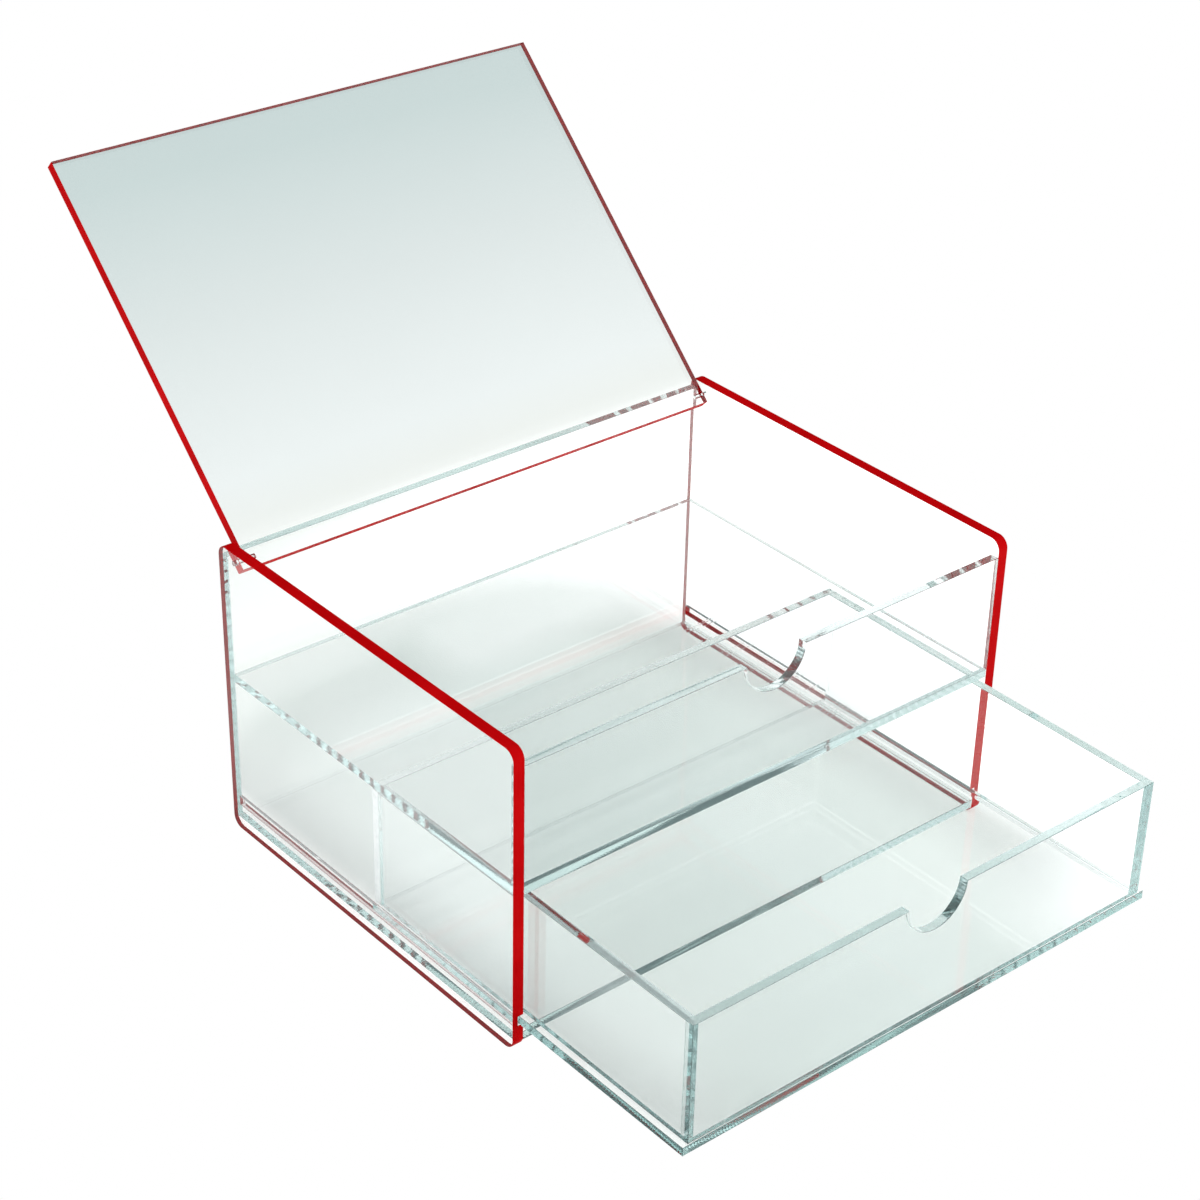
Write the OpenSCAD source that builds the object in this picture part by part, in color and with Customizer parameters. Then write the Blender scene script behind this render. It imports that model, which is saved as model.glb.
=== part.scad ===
// Two-level desk organizer made of flat acrylic panels: an open upper tray
// under a hinged lid, and a drawer that slides in grooves below it.
// Millimetres, +Z up, the drawer pulls out towards -Y and the lid folds back
// towards +Y. Every panel is cut flat from sheet and bonded edge to face.

/* [Case] */
// overall width across the two side panels
case_w = 250; // [220:1:280]
// depth of the side panels, front edge to back edge
case_d = 188; // [160:1:230]
// height of the side panels, which are also the feet
case_h = 134; // [132:1:160]
// sheet thickness of the two side panels
side_t = 5; // [5:0.5:6]
// sheet thickness of every other fixed or drawer panel
sheet_t = 4; // [3:0.5:4]
// rounding of all four corners of each side panel
corner_r = 5; // [3:0.5:6]
// height of the base panel's underside above the table
base_lift = 3.5; // [3:0.5:4]
// height of the shelf's top face, the floor of the upper tray
shelf_top = 74.5; // [70:0.5:78]
// height of the tray front's top edge, which the closed lid stands over
tray_front_top = 126.7; // [118:0.1:126.7]

/* [Finger notches] */
// radius of the half-round finger notch in the tray front and drawer front
notch_r = 15; // [12:0.5:16]

/* [Drawer] */
// height of the grooves' lower face above the table
groove_z = 11.1; // [10.5:0.1:12]
// height of the groove, the drawer floor's thickness plus running room
groove_h = 4.4; // [4.3:0.1:4.8]
// depth of the groove cut into each side panel's inner face
groove_depth = 2.6; // [2.4:0.1:3]
// how far the drawer floor reaches past the drawer walls on each side
floor_tongue = 2.8; // [2.2:0.1:2.9]
// gap between a drawer wall and the side panel beside it
drawer_side_gap = 1; // [0.7:0.1:1.5]
// gap between the drawer walls' top edge and the shelf above
drawer_top_gap = 2; // [1.5:0.1:4]
// how far the drawer floor's front edge stands ahead of the drawer front
floor_lip = 0.5; // [0:0.1:1]
// how far the drawer stands pulled out of the case
drawer_out = 92; // [20:1:130]

/* [Lid] */
// sheet thickness of the lid
lid_t = 5; // [4.5:0.1:5]
// gap between the lid's side edge and the side panel's inner face
lid_side_gap = 0.7; // [0.5:0.1:1]
// gap between the lid's front edge and the front of the case when shut
lid_front_gap = 0.3; // [0.3:0.1:2]
// gap between the shut lid's underside and the tray front's top edge
lid_rest_gap = 0.2; // [0.2:0.1:0.5]
// distance from the lid's rear edge to the hinge axis
hinge_setback = 4; // [3.5:0.1:4.2]
// how far the hinge axis lies below the middle of the lid's thickness
hinge_drop = 0.9; // [0.7:0.1:1]
// slope of the opened lid above the horizontal, leaning on the back panel
lean_deg = 43.8; // [40:0.2:50]

/* [Hinge pins] */
// diameter of each hinge pin
pin_d = 2; // [1.8:0.1:2.2]
// length of each hinge pin
pin_len = 8.2; // [7.6:0.1:8.4]
// radial running clearance of the pin in the lid
pin_clear = 0.05; // [0.03:0.01:0.08]

/* [Hidden] */
$fn = 72;
e = 1;                                   // overcut of every cutting body

inner_x = case_w / 2 - side_t;           // inner face of a side panel
inner_w = 2 * inner_x;
back_y = case_d - sheet_t;               // front face of the back panel
base_top = base_lift + sheet_t;

// lid, in its own plane: u runs from the hinge towards the front edge,
// w is the direction its underside faces
rear_reach = sqrt(pow(hinge_setback, 2) + pow(lid_t / 2 + hinge_drop, 2));
pivot_y = back_y - rear_reach - 0.35;
pivot_z = tray_front_top + lid_rest_gap + lid_t / 2 - hinge_drop;
lid_len = pivot_y + hinge_setback - lid_front_gap;
lid_w = inner_w - 2 * lid_side_gap;
lid_over = lid_t / 2 + hinge_drop;       // hinge axis to the lid's upper face
lid_under = lid_t / 2 - hinge_drop;      // hinge axis to the lid's underside

// the back panel ends just under the leaning lid's upper face
back_top = pivot_z + tan(lean_deg) * (back_y - pivot_y)
           - lid_over / cos(lean_deg) - 0.28;

// drawer
floor_z = groove_z + (groove_h - sheet_t) / 2;
floor_top = floor_z + sheet_t;
drawer_top = shelf_top - sheet_t - drawer_top_gap;
drawer_w = inner_w - 2 * drawer_side_gap;
floor_w = drawer_w + 2 * floor_tongue;
drawer_len = back_y - 0.5;
wall_len = drawer_len - floor_lip;

// everything is laid out from the case's front edge, then moved so that the
// middle of the whole outline, lid open and drawer out, is over the origin
reach_back = pivot_y + (lid_len - hinge_setback) * cos(lean_deg)
             + lid_over * sin(lean_deg);
mid_y = (reach_back - drawer_out) / 2;

pin_in_side = 3.2;                       // depth of the pin hole in the side
pin_in_lid = pin_len - pin_in_side - lid_side_gap + 0.5;

module in_place() { translate([0, -mid_y, 0]) children(); }

module slab(w, d, h, x, y, z) { translate([x, y, z]) cube([w, d, h]); }

// side panel outline seen along X, drawn with u = Y and v = Z
module side_outline() {
    union() {
        translate([corner_r, 0]) square([case_d - 2 * corner_r, case_h]);
        translate([0, corner_r]) square([case_d, case_h - 2 * corner_r]);
        for (u = [corner_r, case_d - corner_r])
            for (v = [corner_r, case_h - corner_r])
                translate([u, v]) circle(r = corner_r);
    }
}

// the left side panel; the right one is its mirror image
module side_panel() {
    difference() {
        translate([-case_w / 2, 0, 0])
            rotate([90, 0, 90]) linear_extrude(height = side_t) side_outline();
        // drawer groove, open at the front and running back to the back panel
        slab(groove_depth + e, back_y + e, groove_h,
             -inner_x - groove_depth, -e, groove_z);
        // blind hole for the hinge pin
        translate([-inner_x - pin_in_side, pivot_y, pivot_z])
            rotate([0, 90, 0]) cylinder(r = pin_d / 2, h = pin_in_side + e);
    }
}

module left_side_panel() { color([0.86, 0.92, 0.92, 0.3]) in_place() side_panel(); }

module right_side_panel() {
    color([0.86, 0.92, 0.92, 0.3]) in_place() mirror([1, 0, 0]) side_panel();
}

module base_panel() {
    color([0.84, 0.91, 0.91, 0.3]) in_place()
        slab(inner_w, back_y, sheet_t, -inner_x, 0, base_lift);
}

module back_panel() {
    color([0.84, 0.91, 0.91, 0.3]) in_place()
        slab(inner_w, sheet_t, back_top - base_lift, -inner_x, back_y, base_lift);
}

module shelf_panel() {
    color([0.84, 0.91, 0.91, 0.3]) in_place()
        slab(inner_w, back_y, sheet_t, -inner_x, 0, shelf_top - sheet_t);
}

module tray_front_panel() {
    color([0.84, 0.91, 0.91, 0.3]) in_place() difference() {
        slab(inner_w, sheet_t, tray_front_top - shelf_top, -inner_x, 0, shelf_top);
        translate([0, -e, tray_front_top]) rotate([-90, 0, 0])
            cylinder(r = notch_r, h = sheet_t + 2 * e);
    }
}

// hinge pin, bonded in the side panel and turning in the lid
module hinge_pin() {
    translate([-inner_x - pin_in_side, pivot_y, pivot_z])
        rotate([0, 90, 0]) cylinder(d = pin_d, h = pin_len);
}

module left_hinge_pin() { color([0.8, 0.86, 0.86, 0.5]) in_place() hinge_pin(); }

module right_hinge_pin() {
    color([0.8, 0.86, 0.86, 0.5]) in_place() mirror([1, 0, 0]) hinge_pin();
}

// lid standing open: built flat with the hinge axis on X, then tipped back
module lid_panel() {
    color([0.82, 0.9, 0.9, 0.3]) in_place()
        translate([0, pivot_y, pivot_z]) rotate([lean_deg, 0, 0]) difference() {
            slab(lid_w, lid_len, lid_t, -lid_w / 2, -hinge_setback, -lid_over);
            for (s = [-1, 1])
                translate([s * (lid_w / 2 - pin_in_lid), 0, 0])
                    rotate([0, s * 90, 0])
                        cylinder(r = pin_d / 2 + pin_clear, h = pin_in_lid + e);
        }
}

// drawer, drawn pulled out by drawer_out
module in_drawer() { in_place() translate([0, -drawer_out, 0]) children(); }

module drawer_floor() {
    color([0.8, 0.9, 0.89, 0.35]) in_drawer()
        slab(floor_w, drawer_len, sheet_t, -floor_w / 2, 0, floor_z);
}

module drawer_wall() {
    slab(sheet_t, wall_len - 2 * sheet_t, drawer_top - floor_top,
         -drawer_w / 2, floor_lip + sheet_t, floor_top);
}

module drawer_left_wall() { color([0.8, 0.9, 0.89, 0.35]) in_drawer() drawer_wall(); }

module drawer_right_wall() {
    color([0.8, 0.9, 0.89, 0.35]) in_drawer() mirror([1, 0, 0]) drawer_wall();
}

module drawer_back_wall() {
    color([0.8, 0.9, 0.89, 0.35]) in_drawer()
        slab(drawer_w, sheet_t, drawer_top - floor_top,
             -drawer_w / 2, drawer_len - sheet_t, floor_top);
}

module drawer_front_wall() {
    color([0.8, 0.9, 0.89, 0.35]) in_drawer() difference() {
        slab(drawer_w, sheet_t, drawer_top - floor_top,
             -drawer_w / 2, floor_lip, floor_top);
        translate([0, floor_lip - e, drawer_top]) rotate([-90, 0, 0])
            cylinder(r = notch_r, h = sheet_t + 2 * e);
    }
}

left_side_panel();
right_side_panel();
base_panel();
back_panel();
shelf_panel();
tray_front_panel();
left_hinge_pin();
right_hinge_pin();
lid_panel();
drawer_floor();
drawer_left_wall();
drawer_right_wall();
drawer_back_wall();
drawer_front_wall();
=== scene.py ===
import math

import bmesh
import bpy
import numpy as np
from mathutils import Matrix, Vector


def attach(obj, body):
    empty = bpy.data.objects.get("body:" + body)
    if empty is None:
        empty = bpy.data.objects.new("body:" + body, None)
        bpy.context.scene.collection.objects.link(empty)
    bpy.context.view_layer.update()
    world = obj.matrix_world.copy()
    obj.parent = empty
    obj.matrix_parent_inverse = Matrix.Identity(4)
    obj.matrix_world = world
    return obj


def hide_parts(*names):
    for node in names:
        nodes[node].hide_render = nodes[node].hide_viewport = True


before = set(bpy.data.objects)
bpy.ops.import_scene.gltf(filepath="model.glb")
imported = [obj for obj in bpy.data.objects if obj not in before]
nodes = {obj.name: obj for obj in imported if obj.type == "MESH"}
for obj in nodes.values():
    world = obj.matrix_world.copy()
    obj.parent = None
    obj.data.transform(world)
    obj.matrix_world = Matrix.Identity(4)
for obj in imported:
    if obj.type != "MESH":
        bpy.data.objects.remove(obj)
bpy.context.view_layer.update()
scene = bpy.context.scene

INSET = 0.00003  # free faces are kept this far inside the outline, so no two faces coincide
GLUE = 0.00010  # a solvent-welded end runs this far into its neighbour, so light passes the joint as it does in the real one
EDGE_ROUGH = 0.002  # how much duller a cut edge is than the faces
BEVEL = 0.00028  # the broken edge of a cut and polished sheet
ARRIS = 0.0007  # the same on a lacquered sheet, where the lacquer runs over it

# ------------------------------------------------------------------ shader helpers


class Tree:
    """A material's node tree, with short names for what the materials below use."""

    def __init__(self, name):
        self.mat = bpy.data.materials.new(name)
        self.mat.use_nodes = True
        self.nt = self.mat.node_tree
        self.nt.nodes.clear()
        self.out = self.nt.nodes.new("ShaderNodeOutputMaterial")

    def new(self, kind, **props):
        n = self.nt.nodes.new(kind)
        for k, v in props.items():
            setattr(n, k, v)
        return n

    def link(self, a, b):
        self.nt.links.new(a, b)

    def put(self, socket, value):
        if hasattr(value, "links"):
            self.link(value, socket)
        else:
            socket.default_value = value

    def math(self, op, a, b=0.0, c=0.0, clamp=False):
        n = self.new("ShaderNodeMath", operation=op, use_clamp=clamp)
        for i, v in enumerate((a, b, c)):
            self.put(n.inputs[i], v)
        return n.outputs[0]

    def place(self, scale=(1, 1, 1), rotate=(0, 0, 0)):
        """Object coordinates in metres, stretched and turned."""
        t = self.new("ShaderNodeTexCoord")
        m = self.new("ShaderNodeMapping")
        m.inputs["Scale"].default_value = scale
        m.inputs["Rotation"].default_value = rotate
        self.link(t.outputs["Object"], m.inputs["Vector"])
        return m.outputs["Vector"]

    def noise(self, at, scale, detail=2.0, rough=0.5, distortion=0.0):
        n = self.new("ShaderNodeTexNoise")
        self.link(at, n.inputs["Vector"])
        n.inputs["Scale"].default_value = scale
        n.inputs["Detail"].default_value = detail
        n.inputs["Roughness"].default_value = rough
        n.inputs["Distortion"].default_value = distortion
        return n.outputs[0]

    def voronoi(self, at, scale, feature="F1"):
        n = self.new("ShaderNodeTexVoronoi", feature=feature)
        self.link(at, n.inputs["Vector"])
        n.inputs["Scale"].default_value = scale
        return n.outputs[0]

    def remap(self, v, lo, hi, a, b):
        n = self.new("ShaderNodeMapRange", clamp=True)
        self.put(n.inputs["Value"], v)
        for k, x in (("From Min", lo), ("From Max", hi), ("To Min", a), ("To Max", b)):
            n.inputs[k].default_value = x
        return n.outputs["Result"]

    def ramp(self, v, stops):
        n = self.new("ShaderNodeValToRGB")
        e = n.color_ramp.elements
        e[0].position, e[0].color = stops[0][0], (*stops[0][1], 1)
        e[1].position, e[1].color = stops[-1][0], (*stops[-1][1], 1)
        for p, c in stops[1:-1]:
            s = e.new(p)
            s.color = (*c, 1)
        self.put(n.inputs["Fac"], v)
        return n.outputs["Color"]

    def bump(self, height, distance, strength=1.0, normal=None):
        n = self.new("ShaderNodeBump")
        n.inputs["Distance"].default_value = distance
        n.inputs["Strength"].default_value = strength
        self.link(height, n.inputs["Height"])
        if normal is not None:
            self.link(normal, n.inputs["Normal"])
        return n.outputs["Normal"]


def acrylic(name, seed, tint, absorb, density):
    """Cast acrylic sheet: clear, faintly wavy faces with hairlines and finger smears, and cut edges that still carry fine saw lines."""
    t = Tree(name)
    here = t.place()
    edge = t.new("ShaderNodeAttribute", attribute_name="cut_edge").outputs["Fac"]
    p = t.new("ShaderNodeBsdfPrincipled")
    # long shallow waves of the casting
    wave = t.noise(here, 9.0 + 0.3 * seed, 0.0)
    # hairlines from wiping: level lines of a noise stretched along one direction, only in some places
    long = t.place(scale=(2.6, 70.0, 70.0), rotate=(0.3 + seed, 0.5, 0.9 + 0.4 * seed))
    level = t.math("ABSOLUTE", t.math("SUBTRACT", t.noise(long, 1.0, 0.0), 0.5))
    hair = t.math(
        "MULTIPLY",
        t.remap(level, 0.0, 0.007, 1.0, 0.0),
        t.remap(wave, 0.50, 0.60, 0.0, 1.0),
    )
    smear = t.noise(here, 24.0 + seed, 2.0, 0.6, 0.0)
    colour = t.ramp(smear, [(0.25, tuple(c * 0.992 for c in tint)), (0.75, tint)])
    t.link(colour, p.inputs["Base Color"])
    p.inputs["Metallic"].default_value = 0.0
    p.inputs["IOR"].default_value = 1.49
    p.inputs["Transmission Weight"].default_value = 1.0
    rough = t.remap(smear, 0.52, 0.80, 0.0, 0.008)
    rough = t.math("MULTIPLY_ADD", hair, 0.04, rough)
    rough = t.math("MULTIPLY_ADD", edge, EDGE_ROUGH, rough)
    t.link(rough, p.inputs["Roughness"])
    saw = t.new("ShaderNodeTexWave", wave_type="BANDS", bands_direction="DIAGONAL")
    t.link(here, saw.inputs["Vector"])
    saw.inputs["Scale"].default_value = 420.0
    saw.inputs["Distortion"].default_value = 0.0
    # heights in metres
    height = t.math("MULTIPLY", wave, 0.00004)
    height = t.math("MULTIPLY_ADD", hair, -0.000003, height)
    height = t.math(
        "ADD",
        height,
        t.math("MULTIPLY", t.math("MULTIPLY", saw.outputs["Fac"], edge), 0.0000011),
    )
    t.link(t.bump(height, 1.0), p.inputs["Normal"])
    t.link(p.outputs["BSDF"], t.out.inputs["Surface"])
    if density:
        v = t.new("ShaderNodeVolumeAbsorption")
        v.inputs["Color"].default_value = (*absorb, 1)
        v.inputs["Density"].default_value = density
        t.link(v.outputs["Volume"], t.out.inputs["Volume"])
    return t.mat


def red_paint(name, seed):
    """Red lacquer brushed along the cut edges: slightly uneven in tone, with fine brush lines and a grainy gloss."""
    t = Tree(name)
    here = t.place()
    p = t.new("ShaderNodeBsdfPrincipled")
    tone = t.noise(here, 60.0 + seed, 2.0, 0.55)
    colour = t.ramp(
        tone,
        [
            (0.25, (0.45, 0.0008, 0.0018)),
            (0.55, (0.525, 0.0012, 0.0026)),
            (0.80, (0.58, 0.0030, 0.0046)),
        ],
    )
    t.link(colour, p.inputs["Base Color"])
    p.inputs["Metallic"].default_value = 0.0
    p.inputs["IOR"].default_value = 1.49
    p.inputs["Specular IOR Level"].default_value = 0.01
    brush = t.noise(t.place(scale=(700.0, 45.0, 45.0)), 1.0, 1.0, 0.5)
    t.link(t.remap(brush, 0.3, 0.7, 0.22, 0.42), p.inputs["Roughness"])
    t.link(t.bump(t.math("MULTIPLY", brush, 0.000012), 1.0), p.inputs["Normal"])
    # a thin coat: some light comes through it into the sheet
    thin = t.new("ShaderNodeBsdfTranslucent")
    t.link(colour, thin.inputs["Color"])
    coat = t.new("ShaderNodeMixShader")
    coat.inputs[0].default_value = 0.13
    t.link(p.outputs["BSDF"], coat.inputs[1])
    t.link(thin.outputs[0], coat.inputs[2])
    t.link(coat.outputs[0], t.out.inputs["Surface"])
    return t.mat


def sawn_end(name, seed):
    """An end left as the saw cut it: white, matt and striped by the teeth, with light coming through from the sheet."""
    t = Tree(name)
    p = t.new("ShaderNodeBsdfPrincipled")
    cut = t.noise(t.place(scale=(60.0, 60.0, 900.0)), 1.0 + 0.1 * seed, 2.0, 0.6)
    chips = t.noise(t.place(), 420.0, 2.0, 0.6)
    mark = t.math("MULTIPLY_ADD", chips, 0.5, t.math("MULTIPLY", cut, 0.5))
    colour = t.ramp(mark, [(0.36, (0.80, 0.84, 0.84)), (0.56, (0.97, 0.985, 0.985))])
    t.link(colour, p.inputs["Base Color"])
    p.inputs["Metallic"].default_value = 0.0
    p.inputs["IOR"].default_value = 1.49
    t.link(t.remap(mark, 0.35, 0.65, 0.42, 0.62), p.inputs["Roughness"])
    t.link(t.bump(t.math("MULTIPLY", mark, 0.00003), 1.0), p.inputs["Normal"])
    through = t.new("ShaderNodeBsdfTranslucent")
    t.link(colour, through.inputs["Color"])
    mix = t.new("ShaderNodeMixShader")
    mix.inputs[0].default_value = 0.4
    t.link(p.outputs["BSDF"], mix.inputs[1])
    t.link(through.outputs[0], mix.inputs[2])
    t.link(mix.outputs[0], t.out.inputs["Surface"])
    return t.mat


CLEAR = (0.992, 0.997, 0.996)
ABSORB = (0.46, 0.71, 0.70)
DENSITY = 7.0
MATERIALS = {
    "clear_panel": acrylic("acrylic_case_sheet", 0.0, CLEAR, ABSORB, 0.5 * DENSITY),
    "clear_side_red_edge": acrylic("acrylic_side_sheet", 1.0, CLEAR, ABSORB, 0),
    "clear_lid_red_edge": acrylic("acrylic_lid_sheet", 2.0, CLEAR, ABSORB, 0),
    "clear_drawer": acrylic("acrylic_drawer_sheet", 3.0, CLEAR, ABSORB, DENSITY),
    "clear_rod": acrylic("acrylic_rod", 4.0, CLEAR, ABSORB, DENSITY),
}
RED = red_paint("red_edge_paint", 0.0)
BARE = acrylic("acrylic_drawer_back", 5.0, CLEAR, ABSORB, 0)
SAWN = sawn_end("sawn_acrylic_end", 0.0)

# ------------------------------------------------------------------ pieces


def offset_faces(bm, glued):
    """Moves every face along its normal: outwards into the neighbour where the sheet is welded, and a little inwards elsewhere."""

    def step(normal):
        return GLUE if any(normal.dot(g) > 0.99 for g in glued) else -INSET

    moves = {}
    for v in bm.verts:
        normals = []
        for f in v.link_faces:
            if f.calc_area() > 1e-12 and not any(
                (f.normal - n).length < 1e-3 for n in normals
            ):
                normals.append(f.normal.copy())
        a = np.array([list(n) for n in normals], float)
        by = np.array([step(n) for n in normals])
        moves[v] = Vector(np.linalg.lstsq(a, by, rcond=None)[0])
    for v, d in moves.items():
        v.co += d


def solid(node, across, red, glued, sawn):
    """A sheet as it is made: the CAD node's own shape, closed and clean, with broken edges where it isn't welded. across is the direction through the sheet. red is true for a sheet whose outer cut edges are lacquered. glued lists the directions of its welded ends. sawn is the direction of an end left as the saw cut it."""
    src = nodes[node]
    glued = [Vector(g) for g in glued]
    bm = bmesh.new()
    bm.from_mesh(src.data)
    bmesh.ops.remove_doubles(bm, verts=bm.verts, dist=1e-6)
    bmesh.ops.dissolve_limit(
        bm,
        angle_limit=math.radians(0.2),
        use_dissolve_boundaries=False,
        verts=bm.verts,
        edges=bm.edges,
    )
    bmesh.ops.recalc_face_normals(bm, faces=bm.faces)
    offset_faces(bm, glued)
    sharp = [
        e
        for e in bm.edges
        if len(e.link_faces) == 2
        and e.calc_face_angle(0.0) > math.radians(35)
        and not any(f.normal.dot(g) > 0.99 for f in e.link_faces for g in glued)
    ]
    bmesh.ops.bevel(
        bm,
        geom=sharp,
        offset=ARRIS if red else BEVEL,
        offset_type="OFFSET",
        segments=2,
        profile=0.5,
        affect="EDGES",
        clamp_overlap=True,
        miter_outer="SHARP",
    )
    bm.normal_update()
    for e in bm.edges:
        if len(e.link_faces) == 2 and e.calc_face_angle(0.0) > math.radians(60):
            e.smooth = False
    me = bpy.data.meshes.new(node + "_sheet")
    # local axes of the sheet, for telling its cut edges from its faces
    n = across.normalized()
    u = n.orthogonal().normalized() if abs(n.x) > 0.9 else Vector((1, 0, 0))
    u = (u - n * u.dot(n)).normalized()
    if abs(n.x) > 0.9:
        u = Vector((0, 1, 0))
    w = n.cross(u)
    co = [v.co for v in bm.verts]
    lo_u, hi_u = min(c.dot(u) for c in co), max(c.dot(u) for c in co)
    lo_w, hi_w = min(c.dot(w) for c in co), max(c.dot(w) for c in co)
    edge_layer = bm.loops.layers.float.new("cut_edge")
    for f in bm.faces:
        side = abs(f.normal.dot(n)) < 0.6
        c = f.calc_center_median()
        rim = min(
            c.dot(u) - lo_u, hi_u - c.dot(u), c.dot(w) - lo_w, hi_w - c.dot(w)
        )
        wrapped = abs(f.normal.dot(n)) < 0.97
        f.material_index = 1 if (red and wrapped and rim < 0.0017) else 0
        if sawn and f.normal.dot(sawn) > 0.9:
            f.material_index = 1
        f.smooth = True
        for loop in f.loops:
            loop[edge_layer] = 1.0 if side else 0.0
    bm.to_mesh(me)
    bm.free()
    return me


def piece(name, node, body, slot, across, red=False, glued=(), sawn=None):
    me = solid(node, Vector(across), red, glued, Vector(sawn) if sawn else None)
    me.materials.append(BARE if sawn else MATERIALS[slot])
    if red:
        me.materials.append(RED)
    if sawn:
        me.materials.append(SAWN)
    ob = bpy.data.objects.new(name, me)
    scene.collection.objects.link(ob)
    weight = ob.modifiers.new("flat_faces", "WEIGHTED_NORMAL")
    weight.mode = "FACE_AREA"
    weight.weight = 100
    weight.keep_sharp = True
    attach(ob, body)
    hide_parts(node)
    return ob


X, Y, Z = (1, 0, 0), (0, 1, 0), (0, 0, 1)

# the lid leans back: the direction through it comes from its own largest face
lid = nodes["lid_panel"].data
big = max(lid.polygons, key=lambda p: p.area)
LID_N = tuple(big.normal)

NX, NZ, NY = (-1, 0, 0), (0, 0, -1), (0, -1, 0)
piece("left_side_sheet", "left_side_panel", "case", "clear_side_red_edge", X, red=True)
piece("right_side_sheet", "right_side_panel", "case", "clear_side_red_edge", X, red=True)
piece("base_sheet", "base_panel", "case", "clear_panel", Z, glued=[NX, Y])
piece("back_sheet", "back_panel", "case", "clear_panel", Y, glued=[X, NX])
piece("shelf_sheet", "shelf_panel", "case", "clear_panel", Z, glued=[NX, Y])
piece("tray_front_sheet", "tray_front_panel", "case", "clear_panel", Y, glued=[X, NX, NZ])
piece("left_pin_rod", "left_hinge_pin", "case", "clear_rod", X)
piece("right_pin_rod", "right_hinge_pin", "case", "clear_rod", X)
piece("lid_sheet", "lid_panel", "lid", "clear_lid_red_edge", LID_N, red=True)
piece("drawer_floor_sheet", "drawer_floor", "drawer", "clear_drawer", Z)
piece("drawer_left_sheet", "drawer_left_wall", "drawer", "clear_drawer", X, glued=[Y, NY, NZ])
piece("drawer_right_sheet", "drawer_right_wall", "drawer", "clear_drawer", X, glued=[Y, NY, NZ])
piece("drawer_back_sheet", "drawer_back_wall", "drawer", "clear_drawer", Y, glued=[NZ], sawn=NX)
piece("drawer_front_sheet", "drawer_front_wall", "drawer", "clear_drawer", Y, glued=[NZ])

# ------------------------------------------------------------------ floor, light, camera


PAINTED_GLOW_STRENGTH = 1.12  # strength of the floor's painted glow: the floor emits its painted tone, seen through the sheets, instead of only being lit


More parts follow.
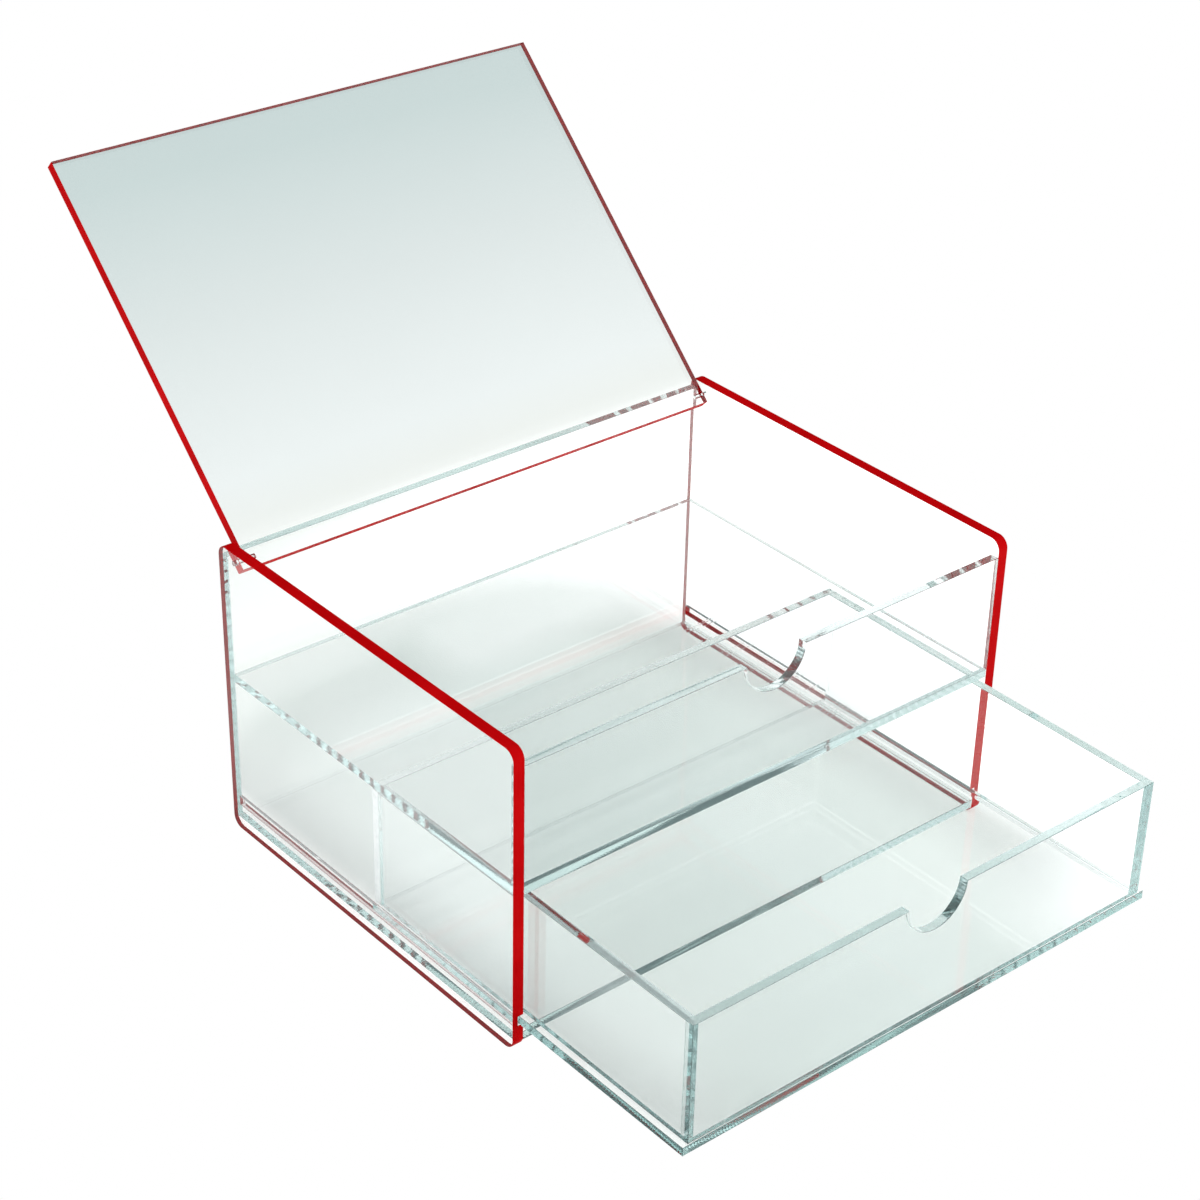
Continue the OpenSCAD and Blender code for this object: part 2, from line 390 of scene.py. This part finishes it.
def studio():
    me = bpy.data.meshes.new("studio_floor")
    s = 6.0
    me.from_pydata([(-s, -s, 0), (s, -s, 0), (s, s, 0), (-s, s, 0)], [], [(0, 1, 2, 3)])
    ob = bpy.data.objects.new("studio_floor", me)
    scene.collection.objects.link(ob)
    t = Tree("studio_floor")
    # the sweep's painted light and shade: painted brightest in front and to the right, with painted shade under the
    # object and a painted falloff far behind it
    pos = t.new("ShaderNodeTexCoord").outputs["Object"]
    xyz = t.new("ShaderNodeSeparateXYZ")
    t.link(pos, xyz.inputs[0])
    x, y = xyz.outputs["X"], xyz.outputs["Y"]
    # painted falloff: the floor is painted darker with distance behind the object
    painted_falloff = t.ramp(
        t.remap(y, 0.10, 1.10, 0.0, 1.0),
        [
            (0.0, (1.0, 1.0, 1.0)),
            (0.05, (0.93, 0.94, 0.93)),
            (0.08, (0.76, 0.775, 0.76)),
            (0.10, (0.72, 0.735, 0.72)),
            (0.15, (0.67, 0.69, 0.675)),
            (0.19, (0.57, 0.595, 0.575)),
            (0.23, (0.565, 0.60, 0.595)),
            (0.40, (0.475, 0.52, 0.515)),
            (0.60, (0.375, 0.445, 0.44)),
            (1.0, (0.33, 0.40, 0.40)),
        ],
    )
    # painted shade under the object: a soft rounded rectangle, painted a little darker towards its left and along its
    # border
    dx = t.math("POWER", t.math("ABSOLUTE", t.math("MULTIPLY", t.math("ADD", x, -0.003), 1 / 0.125)), 4.0)
    dy = t.math("POWER", t.math("ABSOLUTE", t.math("MULTIPLY", t.math("ADD", y, 0.045), 1 / 0.195)), 4.0)
    d = t.math("POWER", t.math("ADD", dx, dy), 0.25)
    painted_shade_under = t.ramp(
        t.remap(x, -0.13, 0.13, 0.0, 1.0),
        [
            (0.0, (0.95, 0.93, 0.92)),
            (0.05, (0.88, 0.87, 0.86)),
            (0.10, (0.57, 0.60, 0.585)),
            (0.23, (0.54, 0.585, 0.565)),
            (0.39, (0.56, 0.61, 0.59)),
            (0.62, (0.60, 0.65, 0.63)),
            (0.85, (0.64, 0.685, 0.66)),
            (1.0, (0.69, 0.72, 0.70)),
        ],
    )
    # painted shade along the border of the rectangle
    painted_border_shade = t.ramp(
        t.remap(d, 0.70, 1.30, 0.0, 1.0),
        [
            (0.0, (1.0, 1.0, 1.0)),
            (0.30, (0.87, 0.87, 0.87)),
            (0.45, (0.90, 0.90, 0.90)),
            (1.0, (1.0, 1.0, 1.0)),
        ],
    )
    inside = t.new("ShaderNodeMix", data_type="RGBA", blend_type="MULTIPLY")
    inside.inputs[0].default_value = 1.0
    t.link(painted_shade_under, inside.inputs[6])
    t.link(painted_border_shade, inside.inputs[7])
    outside = t.new("ShaderNodeMix", data_type="RGBA")
    # painted light: the floor at the drawer's front corner towards the light and at the tray's far side is painted
    # brighter
    painted_light_corner = t.math("MULTIPLY", t.remap(x, 0.06, 0.13, 0.0, 0.75), t.remap(y, -0.18, -0.13, 1.0, 0.0))
    painted_light_far_side = t.math("MULTIPLY", t.remap(x, 0.0, 0.03, 0.0, 0.32), t.remap(y, 0.10, 0.125, 0.0, 1.0))
    painted_lit_floor = t.math("MAXIMUM", t.remap(d, 0.96, 1.25, 0.0, 1.0), t.math("MAXIMUM", painted_light_corner, painted_light_far_side))
    t.link(painted_lit_floor, outside.inputs[0])
    t.link(inside.outputs[2], outside.inputs[6])
    outside.inputs[7].default_value = (1, 1, 1, 1)
    # a painted shadow beside the left panel, away from the light
    left = t.ramp(
        t.remap(x, -0.30, -0.10, 0.0, 1.0),
        [
            (0.0, (1.0, 1.0, 1.0)),
            (0.50, (0.97, 0.97, 0.97)),
            (0.68, (0.80, 0.81, 0.81)),
            (0.80, (0.50, 0.52, 0.52)),
            (0.876, (0.24, 0.26, 0.26)),
            (0.89, (1.0, 1.0, 1.0)),
        ],
    )
    shadow = t.new("ShaderNodeMix", data_type="RGBA", blend_type="MULTIPLY")
    shadow.inputs[0].default_value = 1.0
    t.link(outside.outputs[2], shadow.inputs[6])
    t.link(left, shadow.inputs[7])
    # and a softer painted shadow in front of the drawer
    front = t.ramp(
        t.remap(y, -0.60, -0.20, 0.0, 1.0),
        [
            (0.0, (1.0, 1.0, 1.0)),
            (0.60, (0.80, 0.81, 0.81)),
            (0.88, (0.66, 0.68, 0.68)),
            (0.97, (1.0, 1.0, 1.0)),
        ],
    )
    both = t.new("ShaderNodeMix", data_type="RGBA", blend_type="MULTIPLY")
    both.inputs[0].default_value = 1.0
    t.link(shadow.outputs[2], both.inputs[6])
    t.link(front, both.inputs[7])
    # all the painted shade and painted shadows under and around the object
    painted_shade_and_shadows = both.outputs[2]
    # painted light: just behind the object the floor is painted brighter towards the light
    painted_near_light = t.math("MULTIPLY", t.remap(x, 0.0, 0.11, 0.0, 0.85), t.remap(y, 0.24, 0.28, 1.0, 0.0))
    painted_light_lift = t.new("ShaderNodeMix", data_type="RGBA")
    t.link(painted_near_light, painted_light_lift.inputs[0])
    t.link(painted_falloff, painted_light_lift.inputs[6])
    painted_light_lift.inputs[7].default_value = (1, 1, 1, 1)
    painted_falloff = painted_light_lift.outputs[2]
    # the floor's whole painted tone: painted falloff times the painted shade and painted shadows
    tone = t.new("ShaderNodeMix", data_type="RGBA", blend_type="MULTIPLY")
    tone.inputs[0].default_value = 1.0
    t.link(painted_falloff, tone.inputs[6])
    t.link(painted_shade_and_shadows, tone.inputs[7])
    # the floor takes this painted tone as its diffuse colour and also glows with it: the glow is painted light, not a
    # lamp
    paper = t.new("ShaderNodeBsdfDiffuse")
    scaled = t.new("ShaderNodeMix", data_type="RGBA", blend_type="MULTIPLY")
    scaled.inputs[0].default_value = 1.0
    t.link(tone.outputs[2], scaled.inputs[6])
    scaled.inputs[7].default_value = (0.40, 0.40, 0.40, 1)
    t.link(scaled.outputs[2], paper.inputs["Color"])
    painted_glow = t.new("ShaderNodeEmission")
    t.link(tone.outputs[2], painted_glow.inputs["Color"])
    painted_glow.inputs["Strength"].default_value = PAINTED_GLOW_STRENGTH
    diffuse_and_painted_glow = t.new("ShaderNodeAddShader")
    t.link(paper.outputs[0], diffuse_and_painted_glow.inputs[0])
    t.link(painted_glow.outputs[0], diffuse_and_painted_glow.inputs[1])
    white = t.new("ShaderNodeEmission")
    white.inputs["Color"].default_value = (1, 1, 1, 1)
    white.inputs["Strength"].default_value = 1.0
    mix = t.new("ShaderNodeMixShader")
    path = t.new("ShaderNodeLightPath")
    t.link(path.outputs["Is Camera Ray"], mix.inputs[0])
    t.link(diffuse_and_painted_glow.outputs[0], mix.inputs[1])
    t.link(white.outputs[0], mix.inputs[2])
    t.link(mix.outputs[0], t.out.inputs["Surface"])
    me.materials.append(t.mat)

    w = bpy.data.worlds.new("studio")
    scene.world = w
    w.use_nodes = True
    nt = w.node_tree
    nt.nodes.clear()
    out = nt.nodes.new("ShaderNodeOutputWorld")
    tc = nt.nodes.new("ShaderNodeTexCoord")
    # soft and bright all round, with the unlit end of the room behind and to the right
    dot = nt.nodes.new("ShaderNodeVectorMath")
    dot.operation = "DOT_PRODUCT"
    nt.links.new(tc.outputs["Generated"], dot.inputs[0])
    dot.inputs[1].default_value = (0.62, 0.71, 0.33)
    ramp = nt.nodes.new("ShaderNodeValToRGB")
    e = ramp.color_ramp.elements
    e[0].position, e[0].color = 0.45, (1.0, 1.0, 1.0, 1)
    e[1].position, e[1].color = 0.92, (0.06, 0.095, 0.10, 1)
    mid = e.new(0.70)
    mid.color = (0.62, 0.66, 0.67, 1)
    nt.links.new(dot.outputs["Value"], ramp.inputs["Fac"])
    light = nt.nodes.new("ShaderNodeBackground")
    light.inputs["Strength"].default_value = 1.15
    nt.links.new(ramp.outputs["Color"], light.inputs["Color"])
    plain = nt.nodes.new("ShaderNodeBackground")
    plain.inputs["Color"].default_value = (1, 1, 1, 1)
    plain.inputs["Strength"].default_value = 1.0
    path = nt.nodes.new("ShaderNodeLightPath")
    mix = nt.nodes.new("ShaderNodeMixShader")
    nt.links.new(path.outputs["Is Camera Ray"], mix.inputs[0])
    nt.links.new(light.outputs[0], mix.inputs[1])
    nt.links.new(plain.outputs[0], mix.inputs[2])
    nt.links.new(mix.outputs[0], out.inputs["Surface"])


def lamp(name, at, aim, size, power, colour=(1, 1, 1)):
    data = bpy.data.lights.new(name, "AREA")
    data.shape = "RECTANGLE"
    data.size, data.size_y = size
    data.energy = power
    data.color = colour
    ob = bpy.data.objects.new(name, data)
    scene.collection.objects.link(ob)
    ob.location = at
    ob.rotation_mode = "QUATERNION"
    ob.rotation_quaternion = (Vector(aim) - Vector(at)).to_track_quat("-Z", "Y")
    ob.visible_camera = False
    return ob


studio()

W = 0.25  # the case's width, which the camera's numbers are in
MID = 0.1086496  # from the case's front to the middle of the whole object
az, el, roll = math.radians(-41.116), math.radians(31.587), math.radians(1.749)
back = Vector((math.sin(az) * math.cos(el), -math.cos(az) * math.cos(el), math.sin(el)))
right = (-back).cross(Vector((0, 0, 1))).normalized()
up = right.cross(-back)
r = math.cos(roll) * right + math.sin(roll) * up
u = -math.sin(roll) * right + math.cos(roll) * up
place = (back * 4.4834 + r * 0.0199 + u * 0.0440 + Vector((0, 0.35, 0.3))) * W - Vector((0, MID, 0))
cam_data = bpy.data.cameras.new("camera")
cam_data.sensor_width = 36.0
cam_data.lens = 2771.9 / 1200 * 36
cam_data.shift_x = (600 - 636.0) / 1200
cam_data.shift_y = (646.6 - 600) / 1200
cam_data.clip_start, cam_data.clip_end = 0.05, 50
cam = bpy.data.objects.new("camera", cam_data)
scene.collection.objects.link(cam)
m = Matrix.Identity(4)
for i, v in enumerate((r, u, back, place)):
    for j in range(3):
        m[j][i] = v[j]
cam.matrix_world = m
scene.camera = cam

scene.view_settings.view_transform = "Standard"
scene.view_settings.look = "None"
scene.cycles.max_bounces = 128
scene.cycles.transmission_bounces = 96
scene.cycles.glossy_bounces = 96
scene.cycles.diffuse_bounces = 5
scene.cycles.transparent_max_bounces = 32
scene.cycles.volume_bounces = 0
scene.cycles.caustics_refractive = True
scene.cycles.caustics_reflective = True
scene.cycles.sample_clamp_indirect = 8.0
scene.cycles.blur_glossy = 0.0
scene.cycles.use_denoising = True
